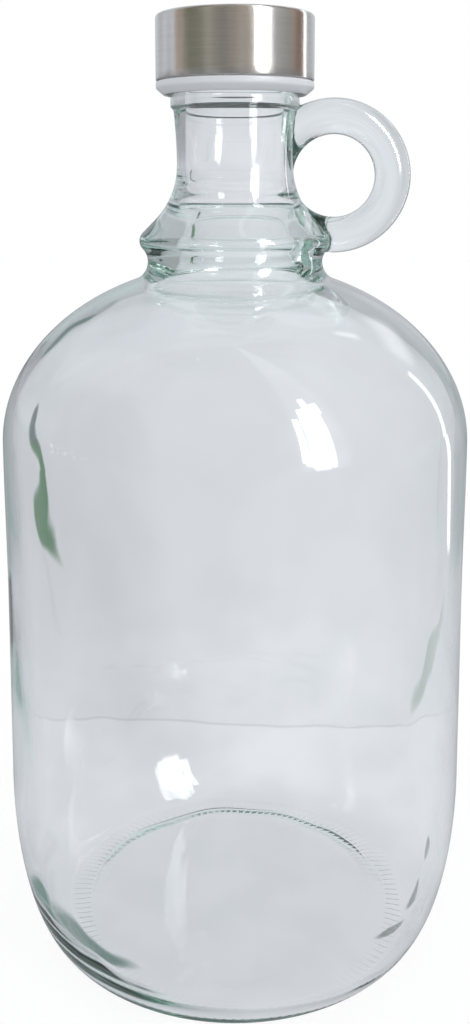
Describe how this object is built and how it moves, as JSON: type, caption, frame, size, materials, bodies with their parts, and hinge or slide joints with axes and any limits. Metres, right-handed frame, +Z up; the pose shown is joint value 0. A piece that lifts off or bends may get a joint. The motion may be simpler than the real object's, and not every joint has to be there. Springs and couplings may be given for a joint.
{
  "type": "glass demijohn",
  "caption": "Clear glass demijohn with a round body, a collared neck with a ring handle for a finger, and a steel-clad screw cap that seals on the rim with a foam liner.",
  "frame": {"origin": "centre of the foot's contact plane, on the bottle's axis", "axes": "+Z up along the bottle's axis, +X from the axis towards the ring handle"},
  "size_m": [0.1318, 0.1318, 0.2627],
  "materials": {
    "clear_glass": "clear polished soda-lime glass, faintly green where it is thick",
    "brushed_steel": "brushed stainless steel",
    "white_plastic": "moulded, slightly translucent polypropylene",
    "foam_liner": "soft closed-cell foam"
  },
  "bodies": {
    "bottle": {"glass_bottle": "clear_glass"},
    "liner": {"cap_liner": "foam_liner"},
    "cap": {"cap_shell": "brushed_steel", "cap_insert": "white_plastic"}
  },
  "joints": [
    {"name": "cap_rise", "type": "slide", "parent": "bottle", "child": "liner", "axis": [0, 0, 1], "range_m": [0, 0.0191]},
    {"name": "cap_turn", "type": "hinge", "parent": "liner", "child": "cap", "pos_m": [0, 0, 0.25816], "axis": [0, 0, 1], "range_deg": [0, 1620]}
  ],
  "couplings": [
    {"joint": "cap_rise", "follows": "cap_turn", "m_per_rad": 0.00067376}
  ]
}
